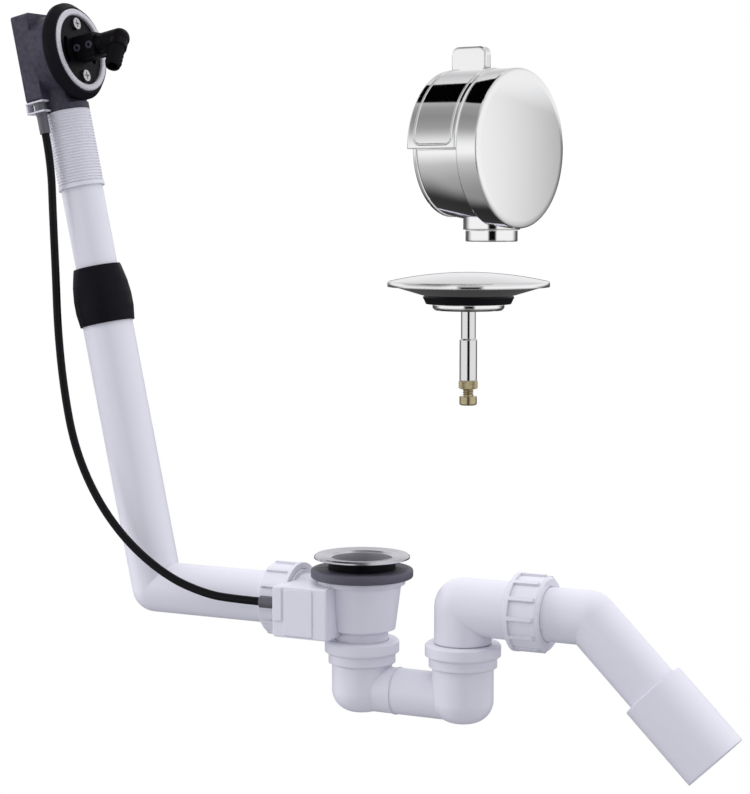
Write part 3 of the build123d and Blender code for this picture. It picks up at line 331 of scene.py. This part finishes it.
# The plug's screw thread and the knurl of its lock nut.
thread_root, thread_crest, thread_pitch = 0.00225, 0.00275, 0.00104
thread_low, thread_lead, thread_turns, thread_steps = -0.0577, 0.3, 3.1, 40
ridge = ((thread_root, -0.42), (thread_crest, -0.08), (thread_crest, 0.08), (thread_root, 0.42))
thread_loops = []
for step_on in range(round(thread_turns * thread_steps) + 1):
    share = step_on / thread_steps
    height = thread_low + (share + thread_lead) * thread_pitch
    thread_loops.append([on_plug(r, 2 * math.pi * share, height + rise * thread_pitch) for r, rise in ridge])
woven("plug_screw_thread", thread_loops, brass, False)

knurl_ridges, knurl_low, knurl_high = 34, -0.0538, -0.0502
knurl_root, knurl_crest, knurl_seat = 0.00452, 0.0048, 0.0038
knurl_loops = []
for spot in range(2 * knurl_ridges):
    turn = math.pi * spot / knurl_ridges
    outer = knurl_crest if spot % 2 else knurl_root
    knurl_loops.append([
        on_plug(knurl_seat, turn, knurl_low), on_plug(outer, turn, knurl_low),
        on_plug(outer, turn, knurl_high), on_plug(knurl_seat, turn, knurl_high),
    ])
woven("plug_nut_knurl", knurl_loops, brass, True)

# The raised line round the control ring's panel.
cover_radius = cap_radius * mm
line_radius, line_sunk, line_steps, line_pitch = 0.0007, 0.0002, 12, 0.002
panel_front, panel_rear, panel_inset, panel_round = 0.0154, 0.0374, 0.0016, 0.0034
panel = rounded(panel_inset, math.pi * cover_radius - panel_inset, panel_front, panel_rear, panel_round)
fine_panel = []
for (s0, d0), (s1, d1) in zip(panel, panel[1:] + panel[:1]):
    pieces = max(1, math.ceil(math.hypot(s1 - s0, d1 - d0) / line_pitch))
    fine_panel += [(s0 + (s1 - s0) * n / pieces, d0 + (d1 - d0) * n / pieces) for n in range(pieces)]
line_loops = []
for index, (s, d) in enumerate(fine_panel):
    s1, d1 = fine_panel[(index + 1) % len(fine_panel)]
    s0, d0 = fine_panel[index - 1]
    run = math.hypot(s1 - s0, d1 - d0)
    side_s, side_d = -(d1 - d0) / run, (s1 - s0) / run
    loop = []
    for spot in range(line_steps):
        bend = 2 * math.pi * spot / line_steps
        across, rise = line_radius * math.cos(bend), line_radius * math.sin(bend)
        angle = (s + side_s * across) / cover_radius
        way = cover_side * -math.cos(angle) + upright * math.sin(angle)
        loop.append(cover_point - cover_out * (d + side_d * across) + way * (cover_radius - line_sunk + rise))
    line_loops.append(loop)
woven("control_ring_line", line_loops, chrome, True, "cover_ring")

# The cover's turned skins, in millimetres from the middle of its face.
cap_wall, cap_band, cap_inside, face_edge, face_rise = 2.0, 12.0, 3.2, 1.2, 1.2
cap_outline = dome(cap_radius - face_edge, face_rise) + [
    (cap_radius - 0.5, -0.25), (cap_radius - 0.1, -0.7), (cap_radius, -1.3), (cap_radius, -cap_band),
    (cap_radius - cap_wall, -cap_band), (cap_radius - cap_wall, -cap_inside), (0.0, -cap_inside),
]
cover_cap = lathe("cover_cap_polished", cover_point, cover_out, upright, cap_outline, chrome)
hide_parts("cover_cap")

skin_outline = [
    (33.1, -40.0), (33.9, -40.0), (35.2, -33.0), (36.4, -26.0), (37.1, -19.0), (37.35, -12.2),
    (36.5, -12.2), (34.4, -32.9), (33.1, -32.9),
]
skin_first, skin_arc = 1.0, 178.0
lower_skin = lathe(
    "cover_lower_skin", cover_point, cover_out, -cover_side, skin_outline, chrome, "fixed",
    skin_first, skin_arc)

ring_inner, ring_front, ring_back, web_inner, web_front, hoop_radius = 37.6, 12.8, 42.0, 33.3, 40.4, 34.4
shell_first, shell_arc, front_edge, back_edge = -0.7, 181.4, 0.5, 0.8
shell_outline = [
    (ring_inner, -ring_front), (cap_radius - front_edge, -ring_front), (cap_radius, -ring_front - front_edge),
    (cap_radius, -ring_back + back_edge), (cap_radius - back_edge, -ring_back), (web_inner, -ring_back),
    (web_inner, -web_front), (ring_inner, -web_front),
]
ring_shell = lathe(
    "control_ring_shell", cover_point, cover_out, cover_side, shell_outline, chrome, "cover_ring",
    shell_first, shell_arc)
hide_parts("control_ring")
hoop_outline = [
    (web_inner, -ring_back), (hoop_radius, -ring_back), (hoop_radius, -web_front), (web_inner, -web_front),
]
ring_hoop = lathe(
    "control_ring_hoop", cover_point, cover_out, cover_side, hoop_outline, chrome, "cover_ring")

# The ring's fin, a rounded plate with its edges drawn in.
fin_half_length, fin_half_height, fin_round, fin_half_thick, fin_edge = 10.5, 6.75, 4.0, 2.75, 0.6
fin_depth, fin_height = 30.5, 44.75
fin_middle = cover_point + (upright * fin_height - cover_out * fin_depth) * mm
fin_outline = rounded(-fin_half_length, fin_half_length, -fin_half_height, fin_half_height, fin_round)
fin_loops = []
for across, inset in (
    (-fin_half_thick, fin_edge), (fin_edge - fin_half_thick, 0.0),
    (fin_half_thick - fin_edge, 0.0), (fin_half_thick, fin_edge),
):
    narrow, lower = 1 - inset / fin_half_length, 1 - inset / fin_half_height
    fin_loops.append([
        fin_middle + (cover_side * across + cover_out * d * narrow + upright * h * lower) * mm
        for d, h in fin_outline
    ])
ring_fin = woven("control_ring_fin", fin_loops, chrome, False, "cover_ring")

# The aerator under the cover's spout.
spout_back, spout_low, aerator_low, aerator_top = 17.6, -40.6, -46.6, -35.6
aerator_radius, aerator_bore, aerator_thread, aerator_edge = 13.2, 9.6, 11.2, 0.4
aerator_outline = [
    (aerator_bore, aerator_low), (aerator_radius - aerator_edge, aerator_low),
    (aerator_radius, aerator_low + aerator_edge), (aerator_radius, spout_low), (aerator_thread, spout_low),
    (aerator_thread, aerator_top), (aerator_bore, aerator_top),
]
aerator = lathe(
    "aerator_turned", cover_point - cover_out * spout_back * mm, upright, cover_out, aerator_outline, chrome)
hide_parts("aerator")

# The plug's cap, with its socket for the stem.
plug_radius, plug_rise, plug_rim, plug_low = 40.6, 4.4, -2.8, -7.0
seat_radius, socket_radius, socket_top = 23.55, 3.8, -4.48
plug_outline = dome(plug_radius - 1.0, plug_rise) + [
    (plug_radius - 0.3, -0.3), (plug_radius, -0.9), (plug_radius, plug_rim), (plug_radius - 3.0, plug_rim),
    (seat_radius, plug_low), (socket_radius, plug_low), (socket_radius, socket_top), (0.0, socket_top),
]
plug_cap = lathe("plug_cap_polished", plug_point, upright, right, plug_outline, chrome)
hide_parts("plug_cap")

# The ribbed tube, along the leaning pipe from its corner.
rib_count, tube_bottom, rib_start, tube_top, spigot_top, pipe_stop = 25, 324.0, 327.5, 386.0, 390.0, 380.4
tube_bore, tube_rim, rib_crest, rib_flank, rib_root = 16.7, 18.4, 18.1, 17.55, 17.45
tube_end, spigot_radius, spigot_bore, tube_steps = 17.2, 15.6, 14.8, 96
rib_pitch = (tube_top - rib_start) / rib_count
tube_outline = [(tube_bore, tube_bottom), (tube_rim, tube_bottom), (tube_rim, rib_start)]
for rib in range(rib_count):
    for radius, share in (
        (rib_root, 0.1), (rib_flank, 0.3), (rib_crest, 0.5), (rib_crest, 0.75), (rib_flank, 0.95),
    ):
        tube_outline.append((radius, rib_start + (rib + share) * rib_pitch))
tube_outline += [
    (tube_end, tube_top), (spigot_radius, tube_top), (spigot_radius, spigot_top), (spigot_bore, spigot_top),
    (spigot_bore, pipe_stop), (tube_bore, pipe_stop),
]
ribbed_tube = lathe(
    "ribbed_tube_fine", pipe_corner, lean_up, lean_out, tube_outline, white, steps=tube_steps)
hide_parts("ribbed_tube")

# The gasket under the bath's floor.
gasket_bore, shelf_radius, gasket_radius, gasket_top, gasket_low = 25.8, 33.0, 39.0, -8.0, -15.5
gasket_outline = [
    (gasket_bore, gasket_low), (shelf_radius, gasket_low), (gasket_radius - 1.4, gasket_low + 0.5),
    (gasket_radius - 0.3, gasket_low + 1.1), (gasket_radius, gasket_low + 1.9),
    (gasket_radius, gasket_top - 1.6), (gasket_radius - 0.4, gasket_top - 0.8),
    (gasket_radius - 1.2, gasket_top - 0.3), (shelf_radius + 1.0, gasket_top), (gasket_bore, gasket_top),
]
gasket = lathe(
    "waste_gasket_edged", Vector((0, 0, 0)), upright, right, gasket_outline, grey_rubber)
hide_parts("waste_gasket")

# The sleeve at the outlet's end, along the slanted pipe from its corner.
outlet_corner = Vector((0.184, 0, -0.0305))
outlet_way = Vector((1, 0, -1)).normalized()
sleeve_radius, sleeve_socket, sleeve_mouth, sleeve_bore = 25.0, 20.1, 21.5, 19.2
sleeve_start, sleeve_stop, sleeve_end = 68.0, 121.3, 135.0
sleeve_outline = [
    (sleeve_socket, sleeve_start), (sleeve_radius - 0.5, sleeve_start), (sleeve_radius, sleeve_start + 0.5),
    (sleeve_radius, sleeve_end - 0.4), (sleeve_radius - 0.4, sleeve_end), (sleeve_mouth, sleeve_end),
    (sleeve_bore, sleeve_stop + 3.0), (sleeve_bore, sleeve_stop), (sleeve_socket, sleeve_stop),
]
sleeve = lathe(
    "outlet_sleeve_plain", outlet_corner, outlet_way, Vector((0, -1, 0)), sleeve_outline, white)
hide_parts("outlet_sleeve")

# The raised strip and panel on the housing's lid, in millimetres.
lid_front, lid_seat, lid_corner, lid_edge, lid_step_deg = -42.2, 0.2, 1.6, 0.5, 18
for name, left, far, low, high, proud in (
    ("housing_lid_strip", -54.4, -46.2, -46.0, -19.8, 1.0),
    ("housing_lid_panel", -45.2, -20.5, -56.6, -20.6, 0.6),
):
    lid_loops = []
    for front, inset in (
        (lid_front + lid_seat, 0.0), (lid_front - proud / 2, 0.0), (lid_front - proud, lid_edge),
    ):
        outline = rounded(left, far, low, high, lid_corner, inset, lid_step_deg)
        lid_loops.append([Vector((x, front, z)) * mm for x, z in outline])
    woven(name, lid_loops, white, False)

# The square collar on the nozzle, which turns with it, with two round bosses.
collar_half, collar_bore, collar_back, collar_front, collar_edge = 9.8, 8.0, -1.6, 17.2, 0.5
collar_power, collar_steps, collar_chamfer = 10, 96, 0.7
collar_loops = []
for spot in range(collar_steps):
    turn = 2 * math.pi * spot / collar_steps
    c, s = math.cos(turn), math.sin(turn)
    way = lean_up * c + Vector((0, 1, 0)) * s
    reach = collar_half / (abs(c) ** collar_power + abs(s) ** collar_power) ** (1 / collar_power)
    outline = (
        (collar_bore, collar_back), (reach, collar_back), (reach, collar_front - collar_chamfer),
        (reach - collar_edge, collar_front), (collar_bore, collar_front),
    )
    collar_loops.append([head + (way * r + lean_out * h) * mm for r, h in outline])
woven("nozzle_collar", collar_loops, black, True, "spindle")

boss_radius, boss_bore, boss_height, boss_edge, boss_seat, boss_steps = 3.0, 1.3, 1.7, 0.4, 9.6, 40
boss_outline = [
    (boss_bore, 0.0), (boss_radius, 0.0), (boss_radius, boss_height - boss_edge),
    (boss_radius - boss_edge, boss_height), (boss_bore + boss_edge, boss_height),
    (boss_bore, boss_height - boss_edge),
]
for name, out_by in (("collar_boss_inner", 2.2), ("collar_boss_outer", 13.6)):
    spot = head + (lean_out * out_by - Vector((0, boss_seat, 0))) * mm
    lathe(
        name, spot, Vector((0, -1, 0)), lean_out, boss_outline, charcoal, "spindle",
        steps=boss_steps)

# Light: a white tent, darker towards the viewer and below, with dark cards that the metal mirrors.
world = bpy.data.worlds.new("studio")
scene.world = world
world.use_nodes = True
world.cycles.sampling_method = "NONE"
wt = world.node_tree
out = wt.nodes["World Output"]


def calc(operation, *values):
    node = wt.nodes.new("ShaderNodeMath")
    node.operation = operation
    for socket, value in zip(node.inputs, values):
        if isinstance(value, (int, float)):
            socket.default_value = value
        else:
            wt.links.new(value, socket)
    return node.outputs[0]


def step(value, low, high, start=0.0, end=1.0):
    node = wt.nodes.new("ShaderNodeMapRange")
    node.interpolation_type = "SMOOTHSTEP"
    for key, number in (("From Min", low), ("From Max", high), ("To Min", start), ("To Max", end)):
        node.inputs[key].default_value = number
    wt.links.new(value, node.inputs["Value"])
    return node.outputs["Result"]


def along(way):
    node = wt.nodes.new("ShaderNodeVectorMath")
    node.operation = "DOT_PRODUCT"
    node.inputs[1].default_value = Vector(way).normalized()
    wt.links.new(sky, node.inputs[0])
    return node.outputs["Value"]


sky = wt.nodes.new("ShaderNodeTexCoord").outputs["Generated"]
parts = wt.nodes.new("ShaderNodeSeparateXYZ")
wt.links.new(sky, parts.inputs[0])
sky_x, sky_y, sky_z = parts.outputs

# Brightness of the tent from straight below to straight above.
heights = wt.nodes.new("ShaderNodeValToRGB")
tent = (
    (0.0, 0.16), (0.06, 0.26), (0.12, 0.30), (0.22, 0.40), (0.34, 0.56), (0.46, 0.97), (0.62, 0.93),
    (0.8, 0.62), (1.0, 0.95),
)
stops = heights.color_ramp.elements
stops[0].position, stops[0].color = tent[0][0], (tent[0][1],) * 3 + (1,)
stops[1].position, stops[1].color = tent[-1][0], (tent[-1][1],) * 3 + (1,)
for place_on, level in tent[1:-1]:
    stops.new(place_on).color = (level,) * 3 + (1,)
wt.links.new(calc("MULTIPLY_ADD", sky_z, 0.5, 0.5), heights.inputs[0])

# The dark cards: on the viewer's side, overhead, low at the back and, fainter, at the upper left.
level_way = calc("SQRT", calc("ADD", calc("MULTIPLY", sky_x, sky_x), calc("MULTIPLY", sky_y, sky_y)))
facing = calc("DIVIDE", along(viewer), calc("MAXIMUM", level_way, 0.001))
card = calc("MAXIMUM", step(facing, 0.93, 0.985, 1.0, 0.005), step(sky_z, -0.55, -0.35, 1.0, 0.0))
card = calc("MAXIMUM", card, step(sky_z, 0.2, 0.36, 0.0, 0.7))
flag = step(along((-0.24, 0.04, 0.97)), 0.885, 0.895, 1.0, 0.001)
rear = calc("MAXIMUM", step(facing, -0.78, -0.14, 0.10, 1.0), step(sky_z, 0.0, 0.12))
left_side = step(along((-0.67, -0.60, 0.43)), 0.70, 0.93, 0.0, -0.55)
left_dim = calc("MULTIPLY", step(sky_z, 0.02, 0.45), left_side)
mirror = calc("MULTIPLY", calc("MULTIPLY", heights.outputs[0], rear), calc("MULTIPLY", card, flag))
mirror = calc("MULTIPLY_ADD", mirror, left_dim, mirror)
soft_level = calc("MULTIPLY_ADD", along(viewer), -0.25, calc("MULTIPLY_ADD", sky_z, 0.25, 0.82))

# Glossy rays see the cards, the camera sees plain white, and all other rays see a soft light.
path = wt.nodes.new("ShaderNodeLightPath")
plain = wt.nodes["Background"]
plain.inputs["Color"].default_value = (1, 1, 1, 1)
shown = wt.nodes.new("ShaderNodeBackground")
shown.inputs["Color"].default_value = (1, 1, 1, 1)
wt.links.new(mirror, shown.inputs["Strength"])
soft = wt.nodes.new("ShaderNodeBackground")
soft.inputs["Color"].default_value = (0.97, 0.97, 1.0, 1)
wt.links.new(soft_level, soft.inputs["Strength"])
glossy_mix = wt.nodes.new("ShaderNodeMixShader")
wt.links.new(path.outputs["Is Glossy Ray"], glossy_mix.inputs[0])
wt.links.new(soft.outputs[0], glossy_mix.inputs[1])
wt.links.new(shown.outputs[0], glossy_mix.inputs[2])
mixer = wt.nodes.new("ShaderNodeMixShader")
wt.links.new(path.outputs["Is Camera Ray"], mixer.inputs[0])
wt.links.new(glossy_mix.outputs[0], mixer.inputs[1])
wt.links.new(plain.outputs[0], mixer.inputs[2])
wt.links.new(mixer.outputs[0], out.inputs["Surface"])


def lamp(name, spot, target, size, power):
    data = bpy.data.lights.new(name, "AREA")
    data.shape = "RECTANGLE"
    data.size, data.size_y = size
    data.energy = power
    made = bpy.data.objects.new(name, data)
    made.location = spot
    made.rotation_euler = (Vector(target) - Vector(spot)).to_track_quat("-Z", "Y").to_euler()
    made.visible_glossy = False
    scene.collection.objects.link(made)


lamp("top_soft", (0.1, 0.1, 1.7), (0.0, 0, 0.1), (2.2, 1.6), 8)
lamp("left_soft", (-1.25, -0.35, 0.45), (-0.2, 0, 0.15), (0.9, 1.4), 10)
lamp("right_soft", (1.7, 0.6, 0.5), (0.1, 0, 0.1), (1.2, 1.6), 6)

# The larger pieces of the loose cover and plug stay out of mirror images, as if pictured separately.
unmirrored = [cover_cap, lower_skin, ring_shell, ring_hoop, ring_fin, aerator, plug_cap]
for name in ("cover_body", "aerator_screen", "plug_seal", "seal_retainer", "plug_stem"):
    unmirrored.append(nodes[name])
for piece in unmirrored:
    piece.visible_glossy = False

# Floor: pale, well below the outlet, plain white to the camera.
floor_paint = Paint("floor_pale", (0.5, 0.5, 0.52), 0.8)
glow = floor_paint.node("ShaderNodeEmission")
seen = floor_paint.node("ShaderNodeLightPath")
blend = floor_paint.node("ShaderNodeMixShader")
floor_paint.link(seen.outputs["Is Camera Ray"], blend.inputs[0])
floor_paint.link(floor_paint.main.outputs[0], blend.inputs[1])
floor_paint.link(glow.outputs[0], blend.inputs[2])
floor_paint.link(blend.outputs[0], floor_paint.tree.nodes["Material Output"].inputs["Surface"])
floor_mesh = bpy.data.meshes.new("floor")
floor_reach = 4.0
floor_z = -0.30
floor_mesh.from_pydata(
    [(x * floor_reach, y * floor_reach, floor_z) for x, y in ((-1, -1), (1, -1), (1, 1), (-1, 1))], [],
    [(0, 1, 2, 3)])
floor_mesh.materials.append(floor_paint.mat)
floor = bpy.data.objects.new("floor", floor_mesh)
scene.collection.objects.link(floor)
floor.visible_glossy = False
